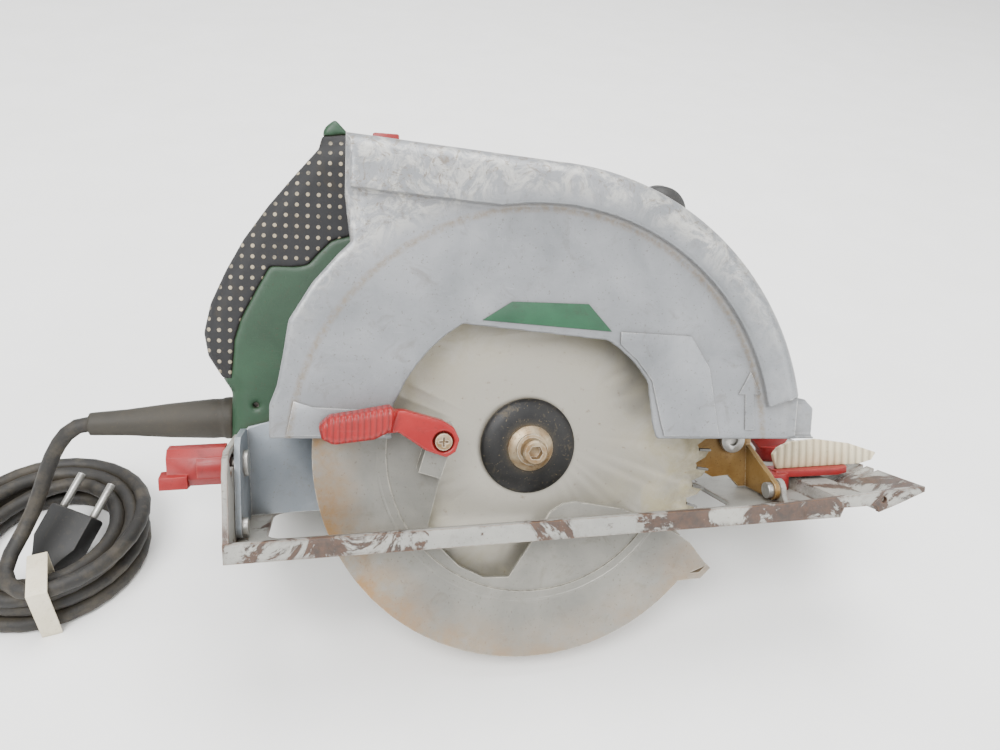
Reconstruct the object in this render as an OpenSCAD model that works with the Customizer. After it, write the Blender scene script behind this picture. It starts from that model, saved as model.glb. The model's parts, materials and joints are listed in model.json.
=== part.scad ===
// Hand-held circular saw with a depth and bevel adjustable base plate.
//
// Saw frame: origin at the blade's centre, +X forward along the cut, +Y to
// the motor side, +Z up from the base plate. seated() turns that frame into
// the resting pose: the saw is laid down on the bottom of its lower guard and
// on the far edge of its base plate, with the floor at z = 0.

/* [Blade] */
// Diameter over the tooth tips
blade_d = 190; // [184:1:194]
// Thickness of the blade's steel disc
blade_t = 1.6; // [1.2:0.1:2]
// Width of the carbide tips
kerf = 2.6; // [2.2:0.1:3]
// Bore of the blade
blade_bore = 30; // [28:1:32]
// Number of teeth
blade_teeth = 60; // [40:2:60]
// Diameter of the clamping flanges
flange_d = 46; // [42:1:48]

/* [Guards] */
// Outer radius of the upper guard's rim
guard_r = 131; // [129:1:138]
// Wall of the upper guard's casting
guard_wall = 3; // [2.5:0.5:4]
// Distance of the upper guard's near face from the blade
guard_near = 24; // [22:1:28]
// Distance of the upper guard's far face from the blade
guard_far = 20; // [19:1:21]
// Height of the upper guard's lower edge above the blade axis
guard_edge_z = 7.5; // [5:0.5:10]
// Inner radius of the chip channel that bulges from the near face
channel_r = 112; // [110:1:114]
// How far the chip channel stands proud of the near face
channel_proud = 5; // [3:1:7]
// Radial gap between the tooth tips and the lower guard's rim
tip_gap = 3.2; // [2:0.2:4.5]
// Thickness of the lower guard's sheet
lower_wall = 2.3; // [1.8:0.1:2.4]
// Half width of the lower guard over its two walls
lower_half = 13; // [12.5:0.1:13.2]
// Angle that the lower guard turns through when it is drawn back
lower_travel = 120; // [90:5:120]

/* [Base plate] */
// Length of the base plate
plate_l = 325; // [320:1:340]
// Width of the base plate
plate_w = 160; // [150:1:200]
// Thickness of the base plate's sheet
plate_t = 2.5; // [2:0.1:3]
// Height of the base plate's turned-up rim
rim_h = 8.5; // [6:0.5:9]
// Greatest depth of cut
cut_depth = 66; // [64:0.5:67]
// Angle between the saw body and the base plate at the depth set here
pitch = 3.07; // [0:0.01:6]
// Greatest swing of the depth hinge
depth_swing = 40; // [30:1:40]
// Greatest bevel
bevel_max = 45; // [30:5:45]

/* [Drive] */
// Module of the reduction gears
gear_m = 1.25; // [1.1:0.05:1.25]
// Teeth of the gear on the spindle
gear_teeth = 34; // [32:1:34]
// Teeth of the pinion on the armature shaft
pinion_teeth = 8; // [8:1:9]
// Radius of the motor housing
motor_r = 38; // [37:1:39]
// Far end of the motor housing
motor_end = 150; // [148:1:151]
// Diameter of the spindle
spindle_d = 12; // [10:1:12]

/* [Handle] */
// Side of the handle that faces the guard
handle_y = 25; // [25:0.5:27]
// Width of the handle across the two shells
handle_w = 34; // [30:1:36]
// Wall of the handle shells
shell_wall = 3.5; // [3:0.5:4]
// Thickness of the soft grip moulded over the shells
grip_t = 3; // [2.5:0.25:3]
// Angle that the trigger turns through
trigger_travel = 7; // [4:1:7]

/* [Cord] */
// Diameter of the mains cord
cord_d = 7.4; // [6:0.1:7.4]
// Middle radius of the stored coil
coil_r = 41; // [40:1:45]
// Turns side by side and on top of each other in the coil
coil_rows = 3; // [3:1:3]

/* [Hidden] */

$fn = 48;
eps = 0.01;
// Clearances: face to face on different bodies, and radial on a running fit
gap = 0.3;
fit = 0.05;

blade_r = blade_d / 2;
lower_r = blade_r + tip_gap + lower_wall;
sole_z = -(blade_r - cut_depth);

// Depth hinge, and its clamp bolt on an arc about it
pivot = [113, 0];
arc_r = 190;
arc_angle = -4;
clamp_at = pivot + arc_r * [-cos(arc_angle), sin(arc_angle)];

// Bevel hinge, along X, just above the plate
bevel_y = -12;
bevel_z = sole_z + plate_t + 5.5;

// Base plate outline
plate_y0 = -38;
plate_y1 = plate_y0 + plate_w;
plate_x0 = -136.5;
plate_x1 = plate_x0 + plate_l;
window_y0 = -15.5;
window_y1 = 34;
window_x0 = -121.5;
window_x1 = 101;

// The motor's axis stands above the spindle at the gears' centre distance
motor_z = gear_m * (gear_teeth + pinion_teeth) / 2;

// Resting pose: the saw leans on the lower guard and the plate's far edge
level_pivot = [pivot[0] * cos(pitch) + pivot[1] * sin(pitch),
    -pivot[0] * sin(pitch) + pivot[1] * cos(pitch)];
edge_z = level_pivot[1] + sole_z - pivot[1];
lean = atan((lower_r + edge_z) / (plate_y1 - lower_half));
floor_drop = lower_half * sin(lean) + lower_r * cos(lean);
// Middle of the saw's footprint, measured from the blade's centre
seat_x = 5.58;
seat_y = -51.19;

// ---------------------------------------------------------------- helpers

// Turns a point of the saw frame into the resting pose
function pitched(p) = [p[0] * cos(pitch) + p[2] * sin(pitch), p[1],
    -p[0] * sin(pitch) + p[2] * cos(pitch)];
function leaned(p) = [p[0], p[1] * cos(lean) + p[2] * sin(lean),
    -p[1] * sin(lean) + p[2] * cos(lean)];
function seat(p) = leaned(pitched(p)) + [seat_x, seat_y, floor_drop];

module seated() {
    translate([seat_x, seat_y, floor_drop])
        rotate([-lean, 0, 0])
        rotate([0, pitch, 0])
        children();
}

// Puts pieces drawn at full depth onto the base plate at the depth set
module on_base() {
    seated()
        translate([pivot[0], 0, pivot[1]])
        rotate([0, -pitch, 0])
        translate([-pivot[0], 0, -pivot[1]])
        children();
}

function last(v) = v[len(v) - 1];
function arc(r, a0, a1, n = 12, c = [0, 0]) =
    [for (i = [0:n]) let (a = a0 + (a1 - a0) * i / n) c + r * [cos(a), sin(a)]];
function area2(p) = let (n = len(p))
    [for (i = [0:n - 1]) p[i][0] * p[(i + 1) % n][1] - p[(i + 1) % n][0] * p[i][1]]
    * [for (i = [0:n - 1]) 1];
function ccw(p) = area2(p) > 0 ? p : [for (i = [len(p) - 1:-1:0]) p[i]];
function unit(v) = v / norm(v);
function left_of(a, b) = let (d = unit(b - a)) [-d[1], d[0]];
// The outline p, which runs anticlockwise, moved inwards by d
function inset(p, d) = let (n = len(p))
    [for (i = [0:n - 1])
        let (m = left_of(p[(i + n - 1) % n], p[i]), k = left_of(p[i], p[(i + 1) % n]))
        p[i] + (m + k) * d / (1 + m * k)];

// An XZ outline carried from y0 to y1
module span(y0, y1) {
    translate([0, y1, 0])
        rotate([90, 0, 0])
        linear_extrude(height = y1 - y0)
        children();
}

// A YZ outline carried from x0 to x1
module span_x(x0, x1) {
    translate([x0, 0, 0])
        rotate([90, 0, 90])
        linear_extrude(height = x1 - x0)
        children();
}

module rod(r, y0, y1, at = [0, 0]) {
    translate([at[0], y0, at[1]])
        rotate([-90, 0, 0])
        cylinder(r = r, h = y1 - y0);
}

module rod_x(r, x0, x1, at = [0, 0]) {
    translate([x0, at[0], at[1]])
        rotate([0, 90, 0])
        cylinder(r = r, h = x1 - x0);
}

// Turned part about Y, from [radius, y] points
module lathe(points, at = [0, 0]) {
    translate([at[0], 0, at[1]])
        rotate([-90, 0, 0])
        rotate_extrude()
        polygon(points);
}

module block(x, y, z) {
    translate([x[0], y[0], z[0]])
        cube([x[1] - x[0], y[1] - y[0], z[1] - z[0]]);
}

// Closed skin over rings with the same number of points, from low y to high y
module skin(rings) {
    n = len(rings[0]);
    m = len(rings);
    polyhedron(
        points = [for (r = rings) each r],
        faces = concat(
            [[for (i = [n - 1:-1:0]) i]],
            [for (k = [0:m - 2]) for (i = [0:n - 1])
                let (j = (i + 1) % n)
                [k * n + i, k * n + j, (k + 1) * n + j, (k + 1) * n + i]],
            [[for (i = [0:n - 1]) (m - 1) * n + i]]));
}

// An XZ outline as a slab with edges rounded by r0 at y0 and by r1 at y1
module round_slab(outline, y0, y1, r0, r1, steps = 4) {
    p = ccw(outline);
    skin(concat(
        [for (k = [0:steps]) let (a = 90 * k / steps)
            [for (q = inset(p, r0 * (1 - sin(a)))) [q[0], y0 + r0 * (1 - cos(a)), q[1]]]],
        [for (k = [steps:-1:0]) let (a = 90 * k / steps)
            [for (q = inset(p, r1 * (1 - sin(a)))) [q[0], y1 - r1 * (1 - cos(a)), q[1]]]]));
}

// Ball bearing as one solid: outer ring, shield and inner ring
module bearing(r_in, r_out, y0, y1, at = [0, 0]) {
    lathe([[r_in, y0], [r_in + 1.5, y0], [r_in + 1.5, y0 + 0.5], [r_out - 1.5, y0 + 0.5],
        [r_out - 1.5, y0], [r_out, y0], [r_out, y1], [r_out - 1.5, y1],
        [r_out - 1.5, y1 - 0.5], [r_in + 1.5, y1 - 0.5], [r_in + 1.5, y1], [r_in, y1]], at);
}

// Pan-head screw whose head points to -Y and sits on the plane y
module screw(r, y, length, at) {
    difference() {
        union() {
            rod(2 * r, y - 1.4 * r, y, at);
            rod(r, y - eps, y + length, at);
        }
        for (a = [0, 90])
            translate([at[0], y - 1.4 * r, at[1]])
                rotate([0, a, 0])
                cube([2.2 * r, 1.4 * r, 0.5 * r], center = true);
    }
}

// ---------------------------------------------------------------- guards

guard_outline = concat(
    [[guard_r * cos(13), -20]],
    arc(guard_r, 13, 88, 30),
    [[-88, guard_r + 6], [-88, 114], [-85, 92], [-90, 87], [-101, 74], [-110.5, 58],
        [-112.5, 44], [-115, 30], [-118, 22], [-118, -20]]);

channel_outline = concat(
    arc(guard_r - 3, 13, 88, 30),
    [[-86, guard_r + 2.5], [-86, channel_r + 2]],
    arc(channel_r, 101, 12, 30));

window_outline = concat(
    [[-66, -30], [-66, 22]],
    [for (p = arc(69, 158, 122, 5)) p],
    arc(61, 60, 34, 4),
    [[54, 14], [57, 6], [57, -30]]);

spout_z = [channel_r - 14, guard_r + 1];
spring_boss_r = 21;

module upper_guard() color("gainsboro") seated() {
    outer = ccw(guard_outline);
    difference() {
        union() {
            difference() {
                union() {
                    span(-guard_near, guard_far) polygon(guard_outline);
                    span(-guard_near - channel_proud, -12) polygon(channel_outline);
                    // Foot at the front of the near wall
                    span(-guard_near + 1, -2)
                        polygon([[100, -6], [138, -6], [138, 22], [133, 26.5], [100, 29]]);
                }
                block([-200, 200], [-60, 60], [-80, guard_edge_z]);
            }
            // Far wall below the edge, with the depth hinge's boss
            span(guard_far - guard_wall, guard_far)
                polygon(concat([[-90, 12], [-90, -16], [-83, -21.5], [-68, -21.5], [-56, -12],
                    [60, -12], [103, -6]],
                    arc(9, 230, 360, 8, pivot), [[122, 12]]));
        }
        span(-guard_near + guard_wall, -14) polygon(inset(outer, 6.5));
        span(-16, guard_far - guard_wall) polygon(inset(outer, guard_wall));
        span(-guard_near - channel_proud + guard_wall, -14)
            polygon(inset(ccw(channel_outline), guard_wall));
        span(-60, -10) polygon(window_outline);
        // Chip spout at the rear
        block([-100, -80], [-guard_near + 1, guard_far - guard_wall], spout_z);
        rod(spring_boss_r + 9, 0, 40);
        rod(4 + fit, 0, 40, pivot);
        rod(3 + fit, 0, 40, clamp_at);
    }
}

// Plastic strip inside the rear of the guard that throws chips to the spout
module chip_deflector() color("sienna") seated() {
    span(-14, guard_far - guard_wall)
        polygon([[-81, 95], [-60, 103], [-60, 105], [-81, 97.5]]);
}

module label_plate() color("seagreen") seated() {
    span(-guard_near - 0.6, -guard_near)
        polygon([[-34, 71], [-14, 76], [22, 76], [36, 70], [24, 66], [-22, 66]]);
}

near_outline = concat(
    arc(lower_r, 172, 321, 50),
    [[91, -58], [81, -46], [73, -41], [46, -29], [22, -25], [16, -26], [10, -30], [1, -45],
        [-9, -61], [-21, -61], [-33, -55], [-41, -47], [-48, -35], [-41, -4], [-37, 6],
        [-38, 13]]);

far_outline = concat(arc(lower_r, 168, 330, 50), [[60, -22], [27, 8], [0, 27], [-27, 10]]);

boss_at = [-44.5, 8];
boss_reach = guard_near + 1.5;

module lower_guard() color("silver") seated() {
    difference() {
        union() {
            intersection() {
                span(-lower_half, -lower_half + 1.8) polygon(near_outline);
                span(-20, 0) difference() {
                    circle(r = 130);
                    circle(r = 68);
                }
            }
            intersection() {
                span(-lower_half + 1, -lower_half + 2.8) polygon(near_outline);
                span(-20, 0) circle(r = 70);
            }
            span(lower_half - 1.8, lower_half) union() {
                polygon(far_outline);
                circle(r = spring_boss_r + 6);
            }
            // Rim over both walls
            span(-lower_half, lower_half) difference() {
                polygon(concat(arc(lower_r, 172, 322, 50), arc(lower_r - lower_wall, 322, 172, 50)));
            }
            // Lip that lifts the guard over the work
            span(-lower_half, lower_half)
                polygon([[76, -65.6], [88, -64.6], [93, -59.5], [91.2, -57.6], [87, -61.6], [77, -61.9]]);
            lathe([[spring_boss_r + gap, lower_half - 1.8], [spring_boss_r + 5, lower_half - 1.8],
                [spring_boss_r + 5, 16.4], [spring_boss_r + gap, 16.4]]);
            // Boss for the lever
            rod(6, -boss_reach, -lower_half + 1, boss_at);
            span(-boss_reach + 4, -lower_half + 1)
                polygon([[-49.5, 8], [-54, -8], [-44, -11], [-38.6, 7]]);
        }
        rod(spring_boss_r + gap, -20, 30);
        rod(1.9, -60, 0, boss_at);
    }
}

lever_outline = [[-88, 11], [-80, 10.5], [-72, 11], [-64, 12], [-52, 4], [-43, 1], [-39, 3.5],
    [-37.5, 9], [-40, 14], [-45, 17], [-62, 21.5], [-72, 20.5], [-88, 17]];
grip_outline = [[-96, 9.5], [-91, 7], [-74, 9.3], [-67, 13], [-65, 21], [-68, 23.5],
    [-81, 21], [-93, 19], [-97.3, 15]];

module guard_lever() color("crimson") seated() {
    difference() {
        union() {
            span(-boss_reach - 7, -boss_reach) polygon(lever_outline);
            round_slab(grip_outline, -boss_reach - 12, -boss_reach - 0.6, 3, 1, 3);
        }
        rod(2.1, -60, 0, boss_at);
        rod(4.6, -60, -boss_reach - 5, boss_at);
    }
}

module guard_lever_screw() color("saddlebrown") seated() {
    screw(1.85, -boss_reach - 5, 14, boss_at);
}

// Spiral spring that turns the lower guard shut
module guard_return_spring() color("dimgray") seated() {
    difference() {
        rod(spring_boss_r + 8, 16.6, guard_far - 1);
        rod(spring_boss_r + 6, 16, guard_far);
    }
}

// ---------------------------------------------------------------- drive

// Involute tooth outline of a spur gear in mesh at backlash, one tooth on +X
function rad(a) = a * PI / 180;
function involute(rb, r) = let (t = sqrt(max(0, r * r / (rb * rb) - 1)))
    [r, t * 180 / PI - atan(t)];
function flank(m, z, add, n = 4) =
    let (rp = m * z / 2, rb = rp * cos(20), ra = rp + add,
        half = (PI * m / 2 - 0.25) / 2 / rp * 180 / PI, at_pitch = involute(rb, rp)[1])
    [for (i = [0:n]) let (r = max(rb, rp - 0.9 * m) + (ra - max(rb, rp - 0.9 * m)) * i / n,
        v = involute(rb, r)) [v[0], half + at_pitch - v[1]]];
module gear_face(m, z, add, ded) {
    f = flank(m, z, add);
    root = m * z / 2 - ded;
    polygon([for (k = [0:z - 1]) let (c = 360 * k / z) each concat(
        [root * [cos(c - f[0][1] - 0.6), sin(c - f[0][1] - 0.6)]],
        [for (p = f) p[0] * [cos(c - p[1]), sin(c - p[1])]],
        [for (i = [len(f) - 1:-1:0]) f[i][0] * [cos(c + f[i][1]), sin(c + f[i][1])]],
        [root * [cos(c + f[0][1] + 0.6), sin(c + f[0][1] + 0.6)]])]);
}

spindle_r = spindle_d / 2;
motor_at = [0, motor_z];
gear_add = 0.85;
gear_tip = gear_m * gear_teeth / 2 + gear_add;
case_r = gear_tip + 3.5;
pinion_tip = gear_m * pinion_teeth / 2 + 1.1;

module spindle() color("silver") seated() {
    difference() {
        union() {
            rod(spindle_r, -4, 62);
            rod(spindle_r + 2, 35, 38);
        }
        rod(4, -10, 16);
    }
}

module spindle_gear() color("dimgray") seated() {
    difference() {
        span(38, 50) rotate(90 + 180 / gear_teeth)
            gear_face(gear_m, gear_teeth, gear_add, 1.6);
        rod(spindle_r, 30, 60);
    }
}

module inner_flange() color("dimgray") seated() {
    difference() {
        lathe([[0, -blade_t / 2 + 0.1], [blade_bore / 2 - fit, -blade_t / 2 + 0.1],
            [blade_bore / 2 - fit, blade_t / 2], [flange_d / 2 - 3, blade_t / 2],
            [flange_d / 2 - 3, 4], [12, 6], [12, 10], [0, 10]]);
        rod(spindle_r, -20, 30);
    }
}

tip_w = 1.1;
module saw_blade() color("silver") seated() {
    pitch_a = 360 / blade_teeth;
    difference() {
        span(-blade_t / 2, blade_t / 2) polygon([for (k = [0:blade_teeth - 1])
            let (a = k * pitch_a)
            each [for (p = [[0, 7.4], [0.36, 2.4], [0.68, 1], [0.68, 6.2], [0.9, 6.6]])
                (blade_r - p[1]) * [cos(a + p[0] * pitch_a), sin(a + p[0] * pitch_a)]]]);
        rod(blade_bore / 2, -20, 20);
    }
}

// Carbide tips, each brazed in front of its tooth
module blade_tips() color("gray") seated() {
    for (k = [0:blade_teeth - 1])
        rotate([0, -(k + 0.68) * 360 / blade_teeth, 0])
            translate([blade_r - 6, -kerf / 2, 0])
            cube([6, kerf, tip_w]);
}

module outer_flange() color("#333333") seated() {
    difference() {
        lathe([[0, -6], [14, -6], [flange_d / 2 - 5, -5.2], [flange_d / 2 - 1.5, -4.2],
            [flange_d / 2, -2.8], [flange_d / 2, -blade_t / 2], [blade_bore / 2 - 4, -blade_t / 2],
            [blade_bore / 2 - 4, -blade_t / 2], [0, -blade_t / 2]]);
        rod(spindle_r + fit, -20, 20);
    }
}

// Hexagon socket bolt with its collar
module clamping_bolt() color("saddlebrown") seated() {
    difference() {
        union() {
            lathe([[0, -6], [10.8, -6], [10.8, -8.2], [9, -9.4], [7.4, -10.2], [7.4, -11.6],
                [5.8, -11.6], [5.8, -18], [5, -18.8], [0, -18.8]]);
            rod(4 - fit, -8, 14);
        }
        translate([0, -20, 0])
            rotate([-90, 0, 0])
            cylinder(r = 3.4, h = 6, $fn = 6);
    }
}

module spindle_bearings() color("silver") seated() {
    bearing(spindle_r + fit, 16, 25, 34.6);
    bearing(spindle_r + fit, 9.5, 53, 62);
}

// Outline shared by the gear case and its bridge, r about the motor's axis
module case_outline(r) {
    circle(r = case_r);
    translate(motor_at)
        circle(r = r);
    polygon([[-case_r, 0], [case_r, 0], [r, motor_z], [-r, motor_z]]);
}

module gear_case() color("darkgray") seated() {
    difference() {
        union() {
            span(guard_far, 52) case_outline(30);
            rod(spring_boss_r, 14, guard_far + 1);
            // Flange that closes the spring's hole in the guard
            difference() {
                rod(spring_boss_r + 12, guard_far, guard_far + 4);
                block([-50, 50], [0, 40], [-60, -case_r]);
            }
        }
        rod(12.6, 0, 25);
        rod(16, 25, 36);
        rod(case_r - 2.8, 36, 60);
        rod(12, 36, 60, motor_at);
        rod(2.5 + fit, 30, 60, [-24, motor_z + 10]);
        rod(2.5 + fit, 30, 60, [24, motor_z + 10]);
        rod_x(4 + fit, 20, 40, [44, 8]);
    }
}

module bearing_bridge() color("darkgray") seated() {
    difference() {
        union() {
            span(52, 60) case_outline(30);
            span(60, 66) case_outline(motor_r);
        }
        rod(9.5, 50, 62);
        rod(8, 50, 56, motor_at);
        rod(13, 56, 70, motor_at);
        rod(2.5 + fit, 30, 70, [-24, motor_z + 10]);
        rod(2.5 + fit, 30, 70, [24, motor_z + 10]);
    }
}

module motor_bearings() color("silver") seated() {
    bearing(5 + fit, 13, 56, 64, motor_at);
    bearing(4 + fit, 11, 143, 150, motor_at);
}

module armature_shaft() color("silver") seated() {
    rod(5, 52, 138, motor_at);
    rod(4, 137, 152, motor_at);
    translate([0, 0, motor_z]) span(37, 52.5) rotate(90)
        gear_face(gear_m, pinion_teeth, 1.1, 1.5);
}

module armature_core() color("slategray") seated() {
    translate([0, 0, motor_z]) span(86, 122) difference() {
        circle(r = 22);
        circle(r = 5);
        for (k = [0:11])
            rotate(30 * k)
                translate([14, -1.2])
                square([9, 2.4]);
    }
}

module commutator() color("peru") seated() {
    translate([0, 0, motor_z]) span(126, 140) difference() {
        circle(r = 12);
        circle(r = 5);
        for (k = [0:23])
            rotate(15 * k)
                translate([11.4, -0.25])
                square([2, 0.5]);
    }
}

module cooling_fan() color("#222222") seated() {
    translate([0, 0, motor_z]) {
        span(68, 70) difference() {
            circle(r = 31);
            circle(r = 5);
        }
        span(70, 79) difference() {
            circle(r = 9);
            circle(r = 5);
        }
        span(69.9, 78) for (k = [0:13])
            rotate(k * 360 / 14)
                translate([12, -0.6])
                square([18, 1.2]);
    }
}

module stator() color("slategray") seated() {
    translate([0, 0, motor_z]) span(86, 122) difference() {
        circle(r = motor_r - 3.2);
        circle(r = 22.6);
        for (a = [0, 180])
            rotate(a)
                translate([23, -11])
                square([7, 22]);
    }
}

module field_coils() color("peru") seated() {
    for (y = [[80, 85.8], [122.2, 125.4]])
        for (a = [0, 180])
            translate([0, 0, motor_z])
                span(y[0], y[1])
                polygon(concat(arc(32, a + 25, a + 155, 12), arc(24, a + 155, a + 25, 12)));
}

module brush_holders() color("goldenrod") seated() {
    for (s = [-1, 1])
        difference() {
            translate([s * 23.4, 133, motor_z])
                cube([20.8, 10, 12], center = true);
            translate([s * 22, 133, motor_z])
                cube([30, 6.4, 8], center = true);
        }
}

module carbon_brushes() color("#2a2a2a") seated() {
    for (s = [-1, 1])
        translate([s * 18.4, 133, motor_z])
            cube([12, 6.2, 7.8], center = true);
}

module brush_caps() color("black") seated() {
    for (s = [-1, 1])
        difference() {
            translate([0, 0, motor_z])
                rod_x(6, s > 0 ? 34 : -motor_r - 1, s > 0 ? motor_r + 1 : -34, [133, 0]);
            translate([s * (motor_r + 1), 133, motor_z])
                cube([2.4, 9, 1.4], center = true);
        }
}

module motor_housing() color("#3f6f52") seated() {
    difference() {
        union() {
            rod(motor_r, 66, motor_end, motor_at);
            rod(motor_r + 1.5, 66, 74, motor_at);
        }
        rod(motor_r - 3, 60, motor_end + 10, motor_at);
        translate([0, 0, motor_z]) {
            rod_x(6 + fit, -60, 60, [133, 0]);
            for (k = [0:9])
                rotate([0, 18 + 36 * k, 0])
                    for (y = [104, 112])
                        translate([20, y, -5])
                        cube([30, 4, 10]);
        }
    }
}

module motor_end_cap() color("#3f6f52") seated() {
    difference() {
        union() {
            lathe([[0, motor_end], [motor_r, motor_end], [motor_r, motor_end + 2],
                [motor_r - 3, motor_end + 6], [motor_r - 9, motor_end + 8], [0, motor_end + 8]], motor_at);
            rod(14, 143, motor_end + 1, motor_at);
        }
        rod(11, 140, motor_end, motor_at);
        rod(5, 140, motor_end + 3, motor_at);
        for (k = [0:7])
            translate([0, 0, motor_z])
                rotate([0, 22.5 + 45 * k, 0])
                translate([17, motor_end - 1, -2])
                cube([13, 20, 4]);
    }
}

// ---------------------------------------------------------------- handle

handle_mid = handle_y + handle_w / 2;
hollow_y = [handle_y + grip_t + shell_wall - 0.5, handle_y + handle_w - grip_t - shell_wall + 0.5];
handle_outline = [[-22, -4], [-20, 40], [-10, 54], [0, 61], [4, 73],
    [-3, 92], [-16, 110], [-34, 128], [-50, 138.5], [-62, 142.5], [-88, 142.5], [-101, 137],
    [-112, 124], [-124, 109], [-135, 93], [-143, 78], [-150, 62],
    [-153, 48], [-151, 37], [-146, 29], [-140, 20], [-140, -7], [-114, -7], [-104, -4]];
opening_outline = [[-98, 38], [-70, 34], [-50, 50], [-42, 78], [-48, 106], [-60, 115],
    [-73, 111], [-80, 97], [-104, 52], [-104, 44]];
grip_region = [[-86, 145], [-100, 143], [-130, 140], [-170, 90], [-170, 24],
    [-139.5, 27], [-138, 46], [-135, 56], [-128, 70], [-122, 81], [-111, 81], [-105, 82],
    [-94, 94], [-60, 104], [-64, 124], [-86, 139]];
trigger_outline = [[-96, 78], [-92, 76], [-86, 77], [-78, 92], [-70, 106], [-68, 112],
    [-70, 117], [-76, 118], [-82, 112]];
trigger_pivot = [-77, 114];
trigger_pin_r = 1.8;
trigger_pin_reach = 11;

function turned_about(p, c, a) = let (d = p - c)
    c + [d[0] * cos(a) + d[1] * sin(a), -d[0] * sin(a) + d[1] * cos(a)];

module handle_body(y0, y1) {
    difference() {
        intersection() {
            union() {
                round_slab(handle_outline, handle_y, handle_y + handle_w, 8, 8);
                // Thumb stop on top of the handle
                round_slab([[-80, 128], [-80, 139], [-93, 152], [-98, 148], [-103, 128]],
                    handle_y + 6, handle_y + handle_w - 6, 2, 2, 3);
            }
            block([-220, 60], [y0, y1], [-60, 200]);
        }
        span(-10, 100) polygon(opening_outline);
        // Hollow for the switch and the wires
        span(hollow_y[0], hollow_y[1]) difference() {
            polygon(inset(ccw(handle_outline), grip_t + shell_wall));
            polygon(inset(ccw(opening_outline), -grip_t - shell_wall));
        }
        // Slot for the trigger over its travel
        for (a = [0, trigger_travel])
            span(handle_mid - 8.6, handle_mid + 8.6)
                polygon([for (p = inset(ccw(trigger_outline), -0.7)) turned_about(p, trigger_pivot, a)]);
        rod(trigger_pin_r + fit, handle_mid - trigger_pin_reach - fit,
            handle_mid + trigger_pin_reach + fit, trigger_pivot);
        // Slot for the lock-off button
        block([-76, -61], [handle_mid - 5, handle_mid + 5], [120, 160]);
        // Seat on the gear case
        span(-10, 100) case_outline(30);
        // Cord inlet
        rod_x(4.2, -160, -120, [handle_mid, 5.5]);
        for (p = handle_screws)
            rod(1.7 + fit, 0, 100, p);
    }
}

handle_screws = [[-128, 14], [-60, 12], [-56, 128], [-22, 76]];

// Space of the soft grip: a skin round the core of the shells
module grip_cut() {
    difference() {
        span(-10, 100) polygon(grip_region);
        span(handle_y + grip_t, handle_y + handle_w - grip_t) difference() {
            polygon(inset(ccw(handle_outline), grip_t));
            polygon(inset(ccw(opening_outline), -grip_t));
        }
    }
}

module handle_left_shell() color("#3f6f52") seated() {
    difference() {
        handle_body(handle_y, handle_mid);
        grip_cut();
    }
}

module handle_right_shell() color("#3f6f52") seated() {
    difference() {
        handle_body(handle_mid, handle_y + handle_w);
        grip_cut();
    }
}

module soft_grip() color("#2b2b2b") seated() {
    intersection() {
        handle_body(handle_y, handle_y + handle_w);
        grip_cut();
    }
}

module trigger() color("#222222") seated() {
    round_slab(trigger_outline, handle_mid - 8, handle_mid + 8, 2, 2, 3);
    rod(trigger_pin_r, handle_mid - trigger_pin_reach, handle_mid + trigger_pin_reach, trigger_pivot);
}

module lock_off_button() color("crimson") seated() {
    block([-75, -62], [handle_mid - 4.4, handle_mid + 4.4], [132, 148]);
}

module trigger_switch() color("#303030") seated() {
    translate([-107, handle_mid, 88])
        rotate([0, 32, 0])
        cube([14, 18, 26], center = true);
}

module housing_screws() color("silver") seated() {
    for (p = handle_screws)
        rod(1.7, handle_y + 6, handle_y + handle_w - 6, p);
    for (x = [-24, 24])
        rod(2.5, 42, 66, [x, motor_z + 10]);
}

module front_handle() color("#1d1d1d") seated() {
    difference() {
        union() {
            lathe([[0, 44], [9, 45], [13.5, 49], [15, 56], [14, 80], [15, 104], [13.5, 111], [9, 115],
                [0, 116]], [82, 119]);
            span(66.5, 90) polygon([[0, 60], [26, 48], [46, 78], [86, 108], [76, 126], [52, 112], [24, 84]]);
        }
        rod(motor_r + 1.5, 60, 74, motor_at);
        rod(motor_r, 70, 100, motor_at);
    }
}

module spindle_lock_button() color("crimson") seated() {
    rod_x(4, case_r - 1, case_r + 6, [44, 8]);
}

sleeve_root = [-140, 5.5];
sleeve_l = 67;
module cord_sleeve() color("#3a3733") seated() {
    translate([sleeve_root[0], handle_mid, sleeve_root[1]])
        rotate([0, -pitch, 0])
        difference() {
            rotate([0, -90, 0])
                rotate_extrude()
                polygon([[0, -2], [10.4, -2], [10.4, 4], [9.7, 4.5], [9.8, 10], [8.4, 30],
                    [6.4, 50], [5.5, sleeve_l], [0, sleeve_l]]);
            // Face that sits on the housing
            rotate([0, pitch, 0])
                translate([0, -20, -20])
                cube(40);
        }
}

module cord_clamp() color("black") seated() {
    block([-124, -118], hollow_y, [10, 13]);
}

// ---------------------------------------------------------------- brackets and plate

module depth_pivot_bolt() color("silver") seated() {
    difference() {
        union() {
            rod(6.5, 10.6, 13.6, pivot);
            rod(4, 13.5, 27, pivot);
            rod(6.5, guard_far, 25, pivot);
        }
        rod(2.6, 8, 12.4, pivot);
    }
}

module depth_clamp_bolt() color("silver") seated() {
    rod(3, guard_far - guard_wall, 31, clamp_at);
    rod(6, guard_far - guard_wall - 2.4, guard_far - guard_wall, clamp_at);
}

module depth_clamp_lever() color("crimson") seated() {
    difference() {
        union() {
            rod(8, 24.2, 30, clamp_at);
            span(25, 29) polygon([for (p = [[2, -6.5], [2, 4], [-41, 0.5], [-44, -1.5], [-44, -5],
                [-41, -7]]) clamp_at + p]);
        }
        rod(3 + fit, 20, 40, clamp_at);
    }
}

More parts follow.
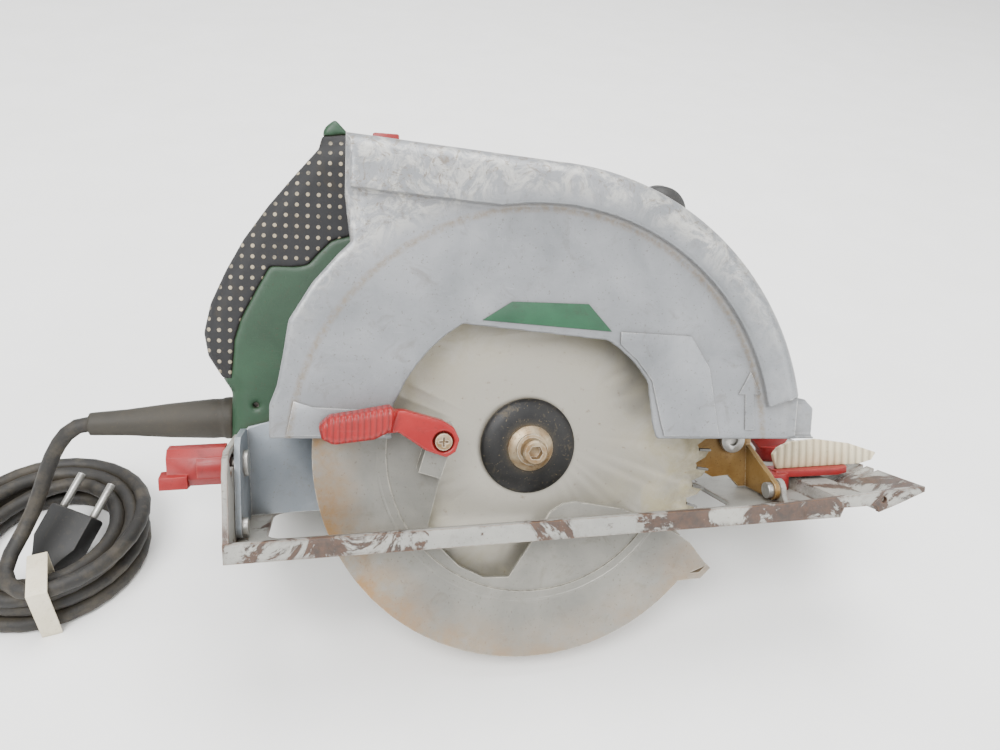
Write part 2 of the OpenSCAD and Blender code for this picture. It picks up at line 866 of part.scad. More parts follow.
bracket_y = guard_far + 1.5;
bolt_r = 30;
bolt_a = 56;
bevel_bolt_at = [bevel_y + bolt_r * cos(bolt_a), bevel_z + bolt_r * sin(bolt_a)];
rear_flange_x = plate_x0 + plate_t + gap;
front_flange_x = 122;

// Front bracket: a plate beside the far wall, and a flange on the bevel hinge
module front_bracket() color("#b99a5b") on_base() {
    difference() {
        union() {
            span(13.9, 16.4) polygon([[92, 24], [92, -8], [95, -15], [103, -19.5], [112, -19],
                [118, sole_z + plate_t + 1], [front_flange_x + 2.5, sole_z + plate_t + 1],
                [front_flange_x + 2.5, 12], [120, 24]]);
            span_x(front_flange_x, front_flange_x + 2.5) polygon(concat(
                [[16.4, sole_z + plate_t + 1], [16.4, -2]],
                arc(5, 100, 260, 8, [bevel_y, bevel_z])));
        }
        rod(4 + fit, 0, 40, pivot);
        rod_x(2.5 + fit, 100, 140, [bevel_y, bevel_z]);
    }
}

// Rear bracket: the depth arc, and a flange that the bevel bolt clamps
module rear_bracket() color("gainsboro") on_base() {
    foot = sole_z + plate_t + 1;
    difference() {
        union() {
            span(bracket_y, bracket_y + 2) polygon(concat(
                [[rear_flange_x, foot], [-66, foot]],
                arc(arc_r - 9, 187.5, 180 - arc_angle - depth_swing - 5.5, 16, pivot),
                arc(arc_r + 9, 180 - arc_angle - depth_swing - 5.5, 169.5, 16, pivot),
                [[-121, 19.5], [rear_flange_x + 3, 17.5], [rear_flange_x, 14]]));
            span_x(rear_flange_x, rear_flange_x + 2.5) polygon(concat(
                [[bracket_y + 1, foot], [bracket_y + 1, 16], [bracket_y - 4, 17.5], [-4, 17.5], [-9, 13]],
                arc(5, 150, 260, 8, [bevel_y, bevel_z])));
        }
        // Slot that the depth clamp runs in
        span(0, 60) polygon(concat(
            arc(arc_r - 3.2, 181 - arc_angle + 0.2, 180 - arc_angle - depth_swing - 1.2, 20, pivot),
            arc(arc_r + 3.2, 180 - arc_angle - depth_swing - 1.2, 181 - arc_angle + 0.2, 20, pivot)));
        rod_x(2.5 + fit, -150, -120, [bevel_y, bevel_z]);
        rod_x(3 + fit, -150, -120, bevel_bolt_at);
    }
}

module bevel_pivot_pins() color("silver") on_base() {
    rod_x(2.5, front_flange_x - 3, front_flange_x + 5.4, [bevel_y, bevel_z]);
    rod_x(2.5, plate_x0 - 2, rear_flange_x + 5, [bevel_y, bevel_z]);
    rod_x(4, front_flange_x - 3, front_flange_x, [bevel_y, bevel_z]);
    rod_x(4, rear_flange_x + 2.5, rear_flange_x + 5, [bevel_y, bevel_z]);
}

module bevel_bolt() color("silver") on_base() {
    rod_x(3, plate_x0 - 22, rear_flange_x + 2.5, bevel_bolt_at);
    rod_x(6, rear_flange_x + 2.5, rear_flange_x + 4.5, bevel_bolt_at);
}

// Red winged nut on the bevel bolt
module bevel_knob() color("crimson") on_base() {
    difference() {
        translate([plate_x0 - gap, bevel_bolt_at[0], bevel_bolt_at[1]])
            rotate([0, -90, 0])
            union() {
                cylinder(r = 7.5, h = 14);
                translate([0, 0, 2])
                    linear_extrude(height = 25)
                    polygon([[-8.5, -3], [-5, -6], [5, -6], [8.5, -3], [9, 4], [5, 6.5], [-5, 6.5], [-9, 4]]);
                translate([0, 0, 18])
                    linear_extrude(height = 12)
                    polygon([[-8.5, -9], [-3, -9], [-1.5, -2], [-9, -2]]);
            }
        rod_x(3 + fit, plate_x0 - 22.2, -100, bevel_bolt_at);
    }
}

// Long section of the plate: flat sole, guide channel and a lifted toe
toe_x = plate_x1 - 46;
guide_x = [146, 164];
channel_h = 5.5;
sole_path = [[plate_x0, 0], [toe_x - 3, 0], [guide_x[0] - 2.5, 0], [guide_x[0], channel_h], [guide_x[1] - 2, channel_h],
    [guide_x[1] + 0.5, 1.3], [plate_x1 - 14, 4.4], [plate_x1, 9.5]];
function lifted(h) = [for (p = sole_path) [p[0], sole_z + p[1] + h]];
plate_profile = concat(lifted(0), [for (i = [len(sole_path) - 1:-1:0]) lifted(plate_t)[i]]);

// Turned-up rim seen from the side, cut out for the guide bar
rim_profile = [[plate_x0, sole_z + 2], [plate_x0 + 2, sole_z], [guide_x[0] - 3, sole_z],
    [guide_x[0] - 2, sole_z + 4.5], [guide_x[1] - 1, sole_z + 4.5], [guide_x[1], sole_z + 1],
    [plate_x1 - 14, sole_z + 4.4], [plate_x1, sole_z + 9.5], [plate_x1, sole_z + 12],
    [plate_x1 - 18, sole_z + rim_h + 3], [guide_x[0], sole_z + rim_h + 1.5],
    [guide_x[0] - 30, sole_z + rim_h], [plate_x0, sole_z + rim_h]];
rear_upright = [[plate_y0, sole_z + 1], [plate_y0, sole_z + 6], [-33, -8], [-30, 6], [-26, 12.5], [-21, 15],
    [17, 15], [22, 11], [23.5, -10], [60, sole_z + rim_h], [plate_y1, sole_z + rim_h], [plate_y1, sole_z + 1]];

module base_plate() color("gainsboro") on_base() {
    difference() {
        union() {
            span(plate_y0, plate_y1) polygon(plate_profile);
            span(plate_y0, plate_y0 + plate_t) polygon(rim_profile);
            span(plate_y1 - plate_t, plate_y1) polygon(rim_profile);
            span_x(plate_x0, plate_x0 + plate_t) polygon(rear_upright);
            // Ear of the front bevel hinge
            span_x(front_flange_x + 2.5 + gap, front_flange_x + 5.3 + gap) polygon(concat(
                [[bevel_y + 9, sole_z + 1], [bevel_y + 5.5, bevel_z]],
                arc(5.5, 20, 160, 8, [bevel_y, bevel_z]),
                [[bevel_y - 5.5, bevel_z], [bevel_y - 9, sole_z + 1]]));
        }
        // Opening for the blade and the lower guard
        translate([0, 0, sole_z - 20])
            linear_extrude(height = 40)
            polygon(concat(arc(8, 270, 180, 4, [window_x0 + 8, window_y0 + 8]),
                arc(8, 180, 90, 4, [window_x0 + 8, window_y1 - 8]),
                arc(8, 90, 0, 4, [window_x1 - 8, window_y1 - 8]),
                arc(8, 0, -90, 4, [window_x1 - 8, window_y0 + 8])));
        // Arc slot for the bevel bolt
        span_x(plate_x0 - 5, plate_x0 + 5) polygon(concat(
            arc(bolt_r - 3.4, bolt_a - 7, bolt_a + bevel_max + 7, 16, [bevel_y, bevel_z]),
            arc(bolt_r + 3.4, bolt_a + bevel_max + 7, bolt_a - 7, 16, [bevel_y, bevel_z])));
        rod_x(2.5 + fit, -150, 140, [bevel_y, bevel_z]);
        // Sighting notches in the front edge, and the hole in the toe
        for (y = [-1, 8, 17])
            block([plate_x1 - 8, plate_x1 + 5], [y - 1.5, y + 1.5], [sole_z, sole_z + 30]);
        rod(1.6, plate_y0 - 5, plate_y0 + 5, [plate_x1 - 22, sole_z + 7]);
        translate([guide_screw_at[0], guide_screw_at[1], sole_z])
            cylinder(r = 3 + fit, h = 30);
        translate([sight_at[0], sight_at[1], sole_z - 1])
            cylinder(r = 3 + fit, h = 20);
    }
}

guide_screw_at = [155, 50];
sight_at = [134.5, 10];
plate_top = sole_z + plate_t;

module guide_wing_screw() color("crimson") on_base() {
    translate([guide_screw_at[0], guide_screw_at[1], plate_top + channel_h]) {
        translate([0, 0, -channel_h])
            cylinder(r = 3, h = 12);
        translate([0, 0, gap])
            cylinder(r = 7, h = 8);
        translate([0, 3, 6])
            rotate([90, 0, 0])
            linear_extrude(height = 6)
            polygon([[-6, 0], [6, 0], [13, 9], [11, 12], [4, 10], [-4, 10], [-11, 12], [-13, 9]]);
    }
}

// Swivelling arm of the cut sight, on a pin in the plate
module sight_arm() color("firebrick") on_base() {
    translate([sight_at[0], sight_at[1], plate_top]) {
        translate([0, 0, gap])
            cylinder(r = 9, h = 9);
        translate([0, 0, -plate_t])
            cylinder(r = 3, h = plate_t + 1);
        translate([0, 0, 7])
            linear_extrude(height = 3.4)
            polygon([[0, -5], [12, -7], [34, -8], [41, -5], [43, 0], [40, 6], [28, 8], [10, 7], [0, 6]]);
    }
}

sight_outline = [[137, 10.4], [186, 10.4], [193, 12], [195.5, 16], [180, 21.5],
    [160, 25], [145, 24.4], [138, 21.5], [135, 18]];
module sight_window() color("wheat") on_base() {
    span(9, 12) polygon([for (p = sight_outline) [p[0], plate_top + p[1]]]);
}

// ---------------------------------------------------------------- cord

cord_r = cord_d / 2;
band_t = 1.2;
band_w = 9;
band_slack = 0.5;
// Coil beside the saw's rear, from the blade's centre
coil_at = [seat_x - 240, seat_y + 36];
coil_h = coil_rows * cord_d;
coil_out = coil_r + coil_h / 2;
sleeve_tip = seat([sleeve_root[0] - sleeve_l * cos(pitch), handle_mid,
    sleeve_root[1] - sleeve_l * sin(pitch)]);

// The cord's free stretch: out of the sleeve, down, and round on top of the coil
cord_drop = [[0, 0, 0], [-5.5, -0.8, -0.5], [-10.8, -2.2, -3.8], [-15, -3.3, -8.8],
    [-18.8, -4.6, -14.8], [-22.6, -6.7, -22.4], [-26.8, -10.1, -32], [-31, -14.6, -41],
    [-36, -21.5, -49], [-40.2, -30.5, -54]];
top_z = coil_h + cord_r + eps;
cord_points = concat(
    [for (p = cord_drop) sleeve_tip + p],
    [for (p = [[-7.6, -33], [-4, -40.5], [2.5, -45.3], [10, -46.8]])
        [coil_at[0] + p[0], coil_at[1] + p[1], top_z]],
    [for (a = [290:10:340])
        [coil_at[0] + 48 * cos(a), coil_at[1] + 48 * sin(a), top_z]]);

module tube(path, r, sides = 8) {
    m = len(path);
    points = [for (k = [0:m - 1])
        let (t = unit(path[min(m - 1, k + 1)] - path[max(0, k - 1)]),
            u = unit(cross(t, [0, 1, 0.2])), v = cross(t, u))
        each [for (i = [0:sides - 1]) let (a = 360 * i / sides)
            path[k] + r * (cos(a) * u + sin(a) * v)]];
    polyhedron(points = points, faces = concat(
        [[for (i = [0:sides - 1]) i]],
        [for (k = [0:m - 2]) for (i = [0:sides - 1]) let (j = (i + 1) % sides)
            [k * sides + i, (k + 1) * sides + i, (k + 1) * sides + j, k * sides + j]],
        [[for (i = [sides - 1:-1:0]) (m - 1) * sides + i]]));
}

module mains_cord() color("#3a3733") {
    tube(cord_points, cord_r);
}

module cord_coil() color("#3a3733") {
    translate([coil_at[0], coil_at[1], 0])
        rotate_extrude()
        polygon(concat(
            [[coil_r - coil_h / 2, 0], [coil_r + coil_h / 2, 0]],
            arc(cord_r, 0, 90, 4, [coil_r + coil_h / 2 - cord_r, coil_h - cord_r]),
            arc(cord_r, 90, 180, 4, [coil_r - coil_h / 2 + cord_r, coil_h - cord_r])));
}

// Band tied round the turns and the cord on top, its ends tucked in at the floor
band_a = 283;
module coil_band() color("cornsilk") {
    high = coil_h + cord_d + gap;
    translate([coil_at[0] + coil_r * cos(band_a), coil_at[1] + coil_r * sin(band_a), 0])
        rotate([0, 0, band_a])
        difference() {
            translate([-coil_h / 2 - band_slack - band_t, -band_w / 2, 0])
                cube([coil_h + 2 * (band_slack + band_t), band_w, high + band_t]);
            translate([-coil_h / 2 - band_slack, -band_w, -1])
                cube([coil_h + 2 * band_slack, 2 * band_w, high + 1]);
        }
}

// The plug stands in the coil's hole, tipped up towards its pins
plug_w = 26;
plug_t = 12;
pin_r = 2;
pin_step = 19;
module in_plug() {
    translate([coil_at[0] + 2.2, coil_at[1] - 15.9, 0])
        rotate([0, -30, 60])
        children();
}

module plug() color("#303030") in_plug()
    linear_extrude(height = plug_t)
    polygon([for (p = [[0, 0.2], [9, 0.35], [16, 0.5], [34, 0.5]]) [p[0], -p[1] * plug_w],
        each [for (p = [[34, 0.5], [16, 0.5], [9, 0.35], [0, 0.2]]) [p[0], p[1] * plug_w]]]);

module plug_pins() color("silver") in_plug()
    for (y = [-pin_step / 2, pin_step / 2])
        translate([34, y, plug_t / 2])
            rotate([0, 90, 0])
            cylinder(r = pin_r, h = 19);

upper_guard();
chip_deflector();
label_plate();
gear_case();
bearing_bridge();
motor_housing();
motor_end_cap();
handle_left_shell();
handle_right_shell();
soft_grip();
front_handle();
housing_screws();
trigger();
lock_off_button();
spindle_lock_button();
trigger_switch();
cord_sleeve();
cord_clamp();
stator();
field_coils();
brush_holders();
carbon_brushes();
brush_caps();
motor_bearings();
armature_shaft();
armature_core();
commutator();
cooling_fan();
spindle_bearings();
spindle();
spindle_gear();
inner_flange();
saw_blade();
blade_tips();
outer_flange();
clamping_bolt();
lower_guard();
guard_lever();
guard_lever_screw();
guard_return_spring();
depth_pivot_bolt();
depth_clamp_bolt();
depth_clamp_lever();
front_bracket();
rear_bracket();
bevel_pivot_pins();
bevel_bolt();
bevel_knob();
base_plate();
guide_wing_screw();
sight_arm();
sight_window();
mains_cord();
cord_coil();
coil_band();
plug();
plug_pins();
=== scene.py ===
# Looks of the hand-held circular saw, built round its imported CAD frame.
import json
import math
import bmesh
import bpy
import numpy as np
from mathutils import Matrix, Vector


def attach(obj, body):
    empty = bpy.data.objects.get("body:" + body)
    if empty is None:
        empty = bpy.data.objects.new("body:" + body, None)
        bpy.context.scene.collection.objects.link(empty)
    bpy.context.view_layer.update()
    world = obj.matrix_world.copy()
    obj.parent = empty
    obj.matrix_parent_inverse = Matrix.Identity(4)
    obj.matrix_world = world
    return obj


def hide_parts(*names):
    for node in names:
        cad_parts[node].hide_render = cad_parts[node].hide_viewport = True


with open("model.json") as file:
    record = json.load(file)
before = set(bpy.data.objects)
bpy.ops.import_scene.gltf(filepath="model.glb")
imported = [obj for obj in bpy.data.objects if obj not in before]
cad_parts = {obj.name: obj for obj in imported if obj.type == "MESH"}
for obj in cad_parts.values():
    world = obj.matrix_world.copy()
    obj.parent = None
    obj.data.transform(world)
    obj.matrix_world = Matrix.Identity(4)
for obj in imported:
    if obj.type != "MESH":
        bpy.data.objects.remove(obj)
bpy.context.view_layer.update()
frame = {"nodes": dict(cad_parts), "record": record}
MM = 0.001

# ------------------------------------------------------------------ frames
# The saw frame has its origin at the blade's centre, +X forward, +Y to the motor, +Z up.
LEAN = math.radians(30.982)
PITCH = math.radians(3.07)
GUARD_Y = -24
HANDLE_MID = 0.042
PLATE_RIM = -0.0372
GUARD_STEP = 0.0722
SEAT = Vector((5.58, -51.19, 92.853)) * MM
TIP = Matrix.Rotation(-LEAN, 4, "X")
LEVEL = Matrix.Translation(SEAT) @ TIP
SAW = LEVEL @ Matrix.Rotation(PITCH, 4, "Y")
HINGE = Matrix.Translation(Vector((113, 0, 0)) * MM)
BASE = SAW @ HINGE @ Matrix.Rotation(-PITCH, 4, "Y") @ HINGE.inverted()
ROW = Matrix.Identity(4)


# ------------------------------------------------------------------ camera
def add_camera():
    azimuth, height, roll = (math.radians(a) for a in (-10.89, 6.93, -0.85))
    back = Vector((math.sin(azimuth) * math.cos(height), -math.cos(azimuth) * math.cos(height),
                   math.sin(height)))
    right = Vector((0, 0, 1)).cross(back).normalized()
    up = back.cross(right)
    turned = math.cos(roll) * right + math.sin(roll) * up
    upward = -math.sin(roll) * right + math.cos(roll) * up
    data = bpy.data.cameras.new("camera")
    data.lens = 29.03
    data.sensor_width = 36
    data.clip_start = 0.01
    camera = bpy.data.objects.new("camera", data)
    bpy.context.scene.collection.objects.link(camera)
    columns = Matrix((turned, upward, back)).transposed().to_4x4()
    camera.matrix_world = Matrix.Translation(Vector((-78.72, -328.93, 353.52)) * MM) @ TIP @ columns
    bpy.context.scene.camera = camera


# ------------------------------------------------------------------ materials
def rgb(code):
    """Linear colour of a six-digit hex code."""
    parts = [int(code[i:i + 2], 16) / 255 for i in (0, 2, 4)]
    return [p / 12.92 if p < 0.04045 else ((p + 0.055) / 1.055) ** 2.4 for p in parts] + [1]


class Look:
    """One material and the nodes that shade it, in the object's own coordinates."""

    def __init__(self, name):
        self.mat = bpy.data.materials.new(name)
        self.mat.use_nodes = True
        self.tree = self.mat.node_tree
        self.shader = self.tree.nodes["Principled BSDF"]
        self.at = self.add("ShaderNodeTexCoord").outputs["Object"]
        self.heights = []

    def add(self, kind, **settings):
        node = self.tree.nodes.new(kind)
        for key, value in settings.items():
            setattr(node, key, value)
        return node

    def put(self, value, socket):
        if isinstance(value, bpy.types.NodeSocket):
            self.tree.links.new(value, socket)
        else:
            socket.default_value = value

    def math(self, kind, a, b=0.0):
        node = self.add("ShaderNodeMath", operation=kind)
        self.put(a, node.inputs[0])
        self.put(b, node.inputs[1])
        return node.outputs[0]

    def span(self, value, low, high, to_low=0.0, to_high=1.0):
        node = self.add("ShaderNodeMapRange")
        for v, i in ((value, 0), (low, 1), (high, 2), (to_low, 3), (to_high, 4)):
            self.put(v, node.inputs[i])
        return node.outputs[0]

    def mix(self, share, a, b):
        node = self.add("ShaderNodeMix", data_type="RGBA")
        self.put(share, node.inputs[0])
        self.put(a, node.inputs[6])
        self.put(b, node.inputs[7])
        return node.outputs[2]

    def stretched(self, scale):
        node = self.add("ShaderNodeMapping")
        self.put(self.at, node.inputs["Vector"])
        node.inputs["Scale"].default_value = scale
        return node.outputs[0]

    def noise(self, scale, detail=5.0, rough=0.6, at=None, warp=0.0):
        node = self.add("ShaderNodeTexNoise")
        self.put(at or self.at, node.inputs["Vector"])
        node.inputs["Scale"].default_value = scale
        node.inputs["Detail"].default_value = detail
        node.inputs["Roughness"].default_value = rough
        node.inputs["Distortion"].default_value = warp
        return node.outputs[0]

    def axes(self):
        node = self.add("ShaderNodeSeparateXYZ")
        self.put(self.at, node.inputs[0])
        return node.outputs

    def distance(self, x, z):
        """Distance in the XZ plane from the point x, z in metres."""
        parts = self.axes()
        dx = self.math("SUBTRACT", parts[0], x)
        dz = self.math("SUBTRACT", parts[2], z)
        square = self.math("ADD", self.math("MULTIPLY", dx, dx), self.math("MULTIPLY", dz, dz))
        return self.math("SQRT", square)

    def edges(self, radius, low=0.01, high=0.16):
        """1 on sharp outer and inner corners."""
        node = self.add("ShaderNodeBevel", samples=4)
        node.inputs["Radius"].default_value = radius
        dot = self.add("ShaderNodeVectorMath", operation="DOT_PRODUCT")
        self.put(node.outputs[0], dot.inputs[0])
        self.put(self.add("ShaderNodeNewGeometry").outputs["Normal"], dot.inputs[1])
        return self.span(dot.outputs["Value"], 1 - low, 1 - high)

    def occlusion_shade(self, reach):
        # Painted shade: near 1 where ambient occlusion finds surfaces close by, in hollows and corners.
        node = self.add("ShaderNodeAmbientOcclusion", samples=4)
        node.inputs["Distance"].default_value = reach
        return self.span(node.outputs["AO"], 0.85, 0.35)

    def raise_by(self, height, strength=0.3, reach=0.0004):
        self.heights.append((height, strength, reach))

    def done(self, colour, rough, metal=0.0):
        self.put(colour, self.shader.inputs["Base Color"])
        self.put(rough, self.shader.inputs["Roughness"])
        self.put(metal, self.shader.inputs["Metallic"])
        normal = None
        for height, strength, reach in self.heights:
            bump = self.add("ShaderNodeBump")
            self.put(height, bump.inputs["Height"])
            bump.inputs["Strength"].default_value = strength
            bump.inputs["Distance"].default_value = reach
            if normal:
                self.put(normal, bump.inputs["Normal"])
            normal = bump.outputs[0]
        if normal:
            self.put(normal, self.shader.inputs["Normal"])
        return self.mat


def worn(name, base, other, dirt_and_shade_tone, rough=0.45, metal=0.0, dirt_and_shade_share=0.5, shade_reach=0.006,
         edge=None, edge_share=0.8, scale=1.0, scratch=0.25, bump=0.15, extra=None):
    """A used surface: mottled colour, soil in patches and specks, painted shade in hollows and corners
    from ambient occlusion, bare edges, fine scratches.
    """
    look = Look(name)
    broad = look.noise(28 * scale, 6, 0.62, warp=0.4)
    fine = look.noise(420 * scale, 4, 0.7)
    colour = look.mix(look.span(broad, 0.35, 0.68), rgb(base), rgb(other))
    lines = look.noise(60, 3, 0.75, at=look.stretched((2.2, 2.2, 34)), warp=1.2)
    marks = look.span(lines, 0.62, 0.66)
    marks_b = look.span(look.noise(55, 3, 0.7, at=look.stretched((30, 3, 2.5)), warp=1.0), 0.64, 0.68)
    marks = look.math("MAXIMUM", marks, marks_b)
    colour = look.mix(look.math("MULTIPLY", marks, scratch), colour, rgb(other))
    patches = look.span(look.noise(75 * scale, 8, 0.7, warp=0.8), 0.56, 0.74)
    specks = look.span(look.noise(900, 2, 0.5), 0.66, 0.72)
    grime_and_shade = look.math("MULTIPLY", look.math("MAXIMUM", patches, specks), dirt_and_shade_share)
    # Painted shade: ambient occlusion darkens hollows and corners towards the soil colour.
    if shade_reach:
        crease_shade_mask = look.math("MULTIPLY", look.occlusion_shade(shade_reach), look.span(fine, 0.3, 0.6, 0.55, 1))
        grime_and_shade = look.math("MAXIMUM", grime_and_shade, look.math("MULTIPLY", crease_shade_mask, min(1, dirt_and_shade_share * 1.6)))
    colour = look.mix(grime_and_shade, colour, rgb(dirt_and_shade_tone))
    if extra:
        colour = extra(look, colour, fine)
    shine = look.math("ADD", look.span(broad, 0.3, 0.7, rough - 0.07, rough + 0.07),
                      look.math("MULTIPLY", grime_and_shade, 0.3))
    if edge:
        bare = look.math("MULTIPLY", look.edges(0.0009), look.span(look.noise(260, 5, 0.7), 0.38, 0.55))
        colour = look.mix(look.math("MULTIPLY", bare, edge_share), colour, rgb(edge))
    look.raise_by(fine, bump, 0.0003)
    look.raise_by(look.math("MULTIPLY", marks, -1), 0.25, 0.0002)
    return look.done(colour, shine, metal)


def cast_extra(look, colour, fine):
    """Dirty whitish wear band along the guard's ridge, brown oil streaks, and a painted shade line just
    inside the ridge.
    """
    away = look.distance(0, 0)
    high = look.span(look.axes()[2], 0.05, 0.1, 0.15, 1)
    band = look.math("MULTIPLY", look.math("MULTIPLY", look.span(away, 0.113, 0.122), high),
                     look.span(look.noise(80, 8, 0.75, warp=1.5), 0.45, 0.58))
    colour = look.mix(look.math("MULTIPLY", band, 0.6), colour, rgb("C9C7C0"))
    soot = look.math("MULTIPLY", look.math("MULTIPLY", look.span(away, 0.116, 0.127), high),
                     look.span(look.noise(120, 8, 0.8, warp=2.0), 0.53, 0.6))
    colour = look.mix(look.math("MULTIPLY", soot, 0.75), colour, rgb("6E6253"))
    # Painted shade: a darker line at 110 mm radius, in the hollow below the channel ridge.
    ridge_shade = look.math("MULTIPLY", look.span(look.math("ABSOLUTE", look.math("SUBTRACT", away, 0.110)),
                                           0.0022, 0.0006), look.span(fine, 0.35, 0.6))
    return look.mix(look.math("MULTIPLY", ridge_shade, 0.6), colour, rgb("7A6B55"))


def blade_look():
    look = Look("blade_steel")
    away = look.distance(0, 0)
    swell = look.noise(1, 5, 0.7)
    rings = look.add("ShaderNodeTexNoise", noise_dimensions="1D")
    look.put(look.math("MULTIPLY", away, 2600.0), rings.inputs["W"])
    rings.inputs["Detail"].default_value = 4
    colour = look.mix(look.span(rings.outputs[0], 0.3, 0.7), rgb("AFABA0"), rgb("C8C3B6"))
    resin = look.noise(46, 7, 0.68, warp=1.1)
    stain = look.math("MULTIPLY", look.span(away, 0.035, 0.082), look.span(resin, 0.38, 0.62))
    colour = look.mix(look.math("MULTIPLY", stain, 0.65), colour, rgb("9A8C58"))
    dark = look.math("MULTIPLY", look.span(away, 0.07, 0.094), look.span(look.noise(90, 7, 0.7), 0.3, 0.6))
    colour = look.mix(look.math("MULTIPLY", dark, 0.8), colour, rgb("574F3C"))
    spots = look.span(look.noise(330, 5, 0.7), 0.62, 0.72)
    colour = look.mix(look.math("MULTIPLY", spots, 0.55), colour, rgb("7C5B3A"))
    rough = look.span(stain, 0, 1, 0.3, 0.55)
    look.raise_by(rings.outputs[0], 0.12, 0.0002)
    look.raise_by(swell, 0.02, 0.0002)
    return look.done(colour, rough, look.span(stain, 0, 1, 0.7, 0.25))


def grip_extra(look, colour, fine):
    """Beige dots in a square grid, 5 mm apart, partly rubbed away."""
    parts = look.axes()
    cells = []
    for part in (parts[0], parts[2]):
        cell = look.math("PINGPONG", part, 0.0025)
        cells.append(look.math("MULTIPLY", cell, cell))
    away = look.math("SQRT", look.math("ADD", cells[0], cells[1]))
    dot = look.span(away, 0.00105, 0.0008)
    side = look.span(look.math("ABSOLUTE", look.math("SUBTRACT", parts[1], HANDLE_MID)), 0.010, 0.0125)
    dot = look.math("MULTIPLY", dot, side)
    look.raise_by(dot, 0.5, 0.0005)
    kept = look.span(look.noise(120, 5, 0.7), 0.36, 0.5, 0.25, 1)
    return look.mix(look.math("MULTIPLY", dot, look.math("MULTIPLY", kept, 0.9)), colour, rgb("A79B83"))


def rust_extra(look, colour, fine):
    """Rust and bare metal where the paint has gone, mostly along edges and the rim."""
    patch = look.noise(36, 9, 0.7, warp=0.9)
    rim = look.edges(0.004, 0.01, 0.3)
    above = look.math("ABSOLUTE", look.math("SUBTRACT", look.axes()[1], PLATE_RIM))
    near_rim = look.math("MULTIPLY", look.span(above, 0.0035, 0.0015), look.span(patch, 0.505, 0.53))
    share = look.math("MAXIMUM", look.span(patch, 0.57, 0.61),
                      look.math("MULTIPLY", rim, look.span(patch, 0.44, 0.5)))
    share = look.math("MAXIMUM", share, near_rim)
    look.raise_by(look.math("MULTIPLY", share, -1), 0.5, 0.0005)
    tone = look.mix(look.span(look.noise(210, 6, 0.7), 0.35, 0.65), rgb("1F0F08"), rgb("4C2C17"))
    return look.mix(look.math("MULTIPLY", share, 0.9), colour, tone)


def guard_extra(look, colour, fine):
    """Amber resin towards the guard's rim."""
    away = look.distance(0, 0)
    patches = look.span(look.noise(60, 7, 0.7), 0.34, 0.6)
    resin = look.math("MULTIPLY", look.span(away, 0.078, 0.099), patches)
    resin = look.math("MULTIPLY", resin, look.span(look.axes()[0], 0.0, -0.08, 0.45, 1.0))
    colour = look.mix(look.math("MULTIPLY", resin, 0.75), colour, rgb("94692A"))
    line = look.span(look.math("ABSOLUTE", look.math("SUBTRACT", away, GUARD_STEP)), 0.0007, 0.0003)
    look.raise_by(line, 0.4, 0.0005)
    return colour


def ribs(scale, axis):
    """Ribs across one axis, as a rise in the surface with painted shade between them."""
    def extra(look, colour, fine):
        wave = look.math("SINE", look.math("MULTIPLY", look.axes()[axis], scale))
        look.raise_by(wave, 0.7, 0.0006)
        # Painted shade: the troughs between ribs are darkened.
        return look.mix(look.span(wave, -0.2, -0.9, 0, 0.45), colour, rgb("4A3326"))
    return extra


def lever_ribs(look, colour, fine):
    """Ribs on the lever's grip alone, with painted shade in their troughs."""
    parts = look.axes()
    grip = look.span(parts[0], -0.064, -0.067)
    wave = look.math("MULTIPLY", look.math("SINE", look.math("MULTIPLY", parts[0], 2500.0)), grip)
    look.raise_by(wave, 0.5, 0.0005)
    # Painted shade: the troughs between ribs are darkened to a deeper red.
    return look.mix(look.span(wave, -0.3, -0.95, 0, 0.5), colour, rgb("3C1712"))


def dusty_cord(look, colour, fine):
    """Dust lying in patches on the cord."""
    dust = look.span(look.noise(65, 7, 0.7), 0.46, 0.62)
    return look.mix(look.math("MULTIPLY", dust, 0.55), colour, rgb("484135"))


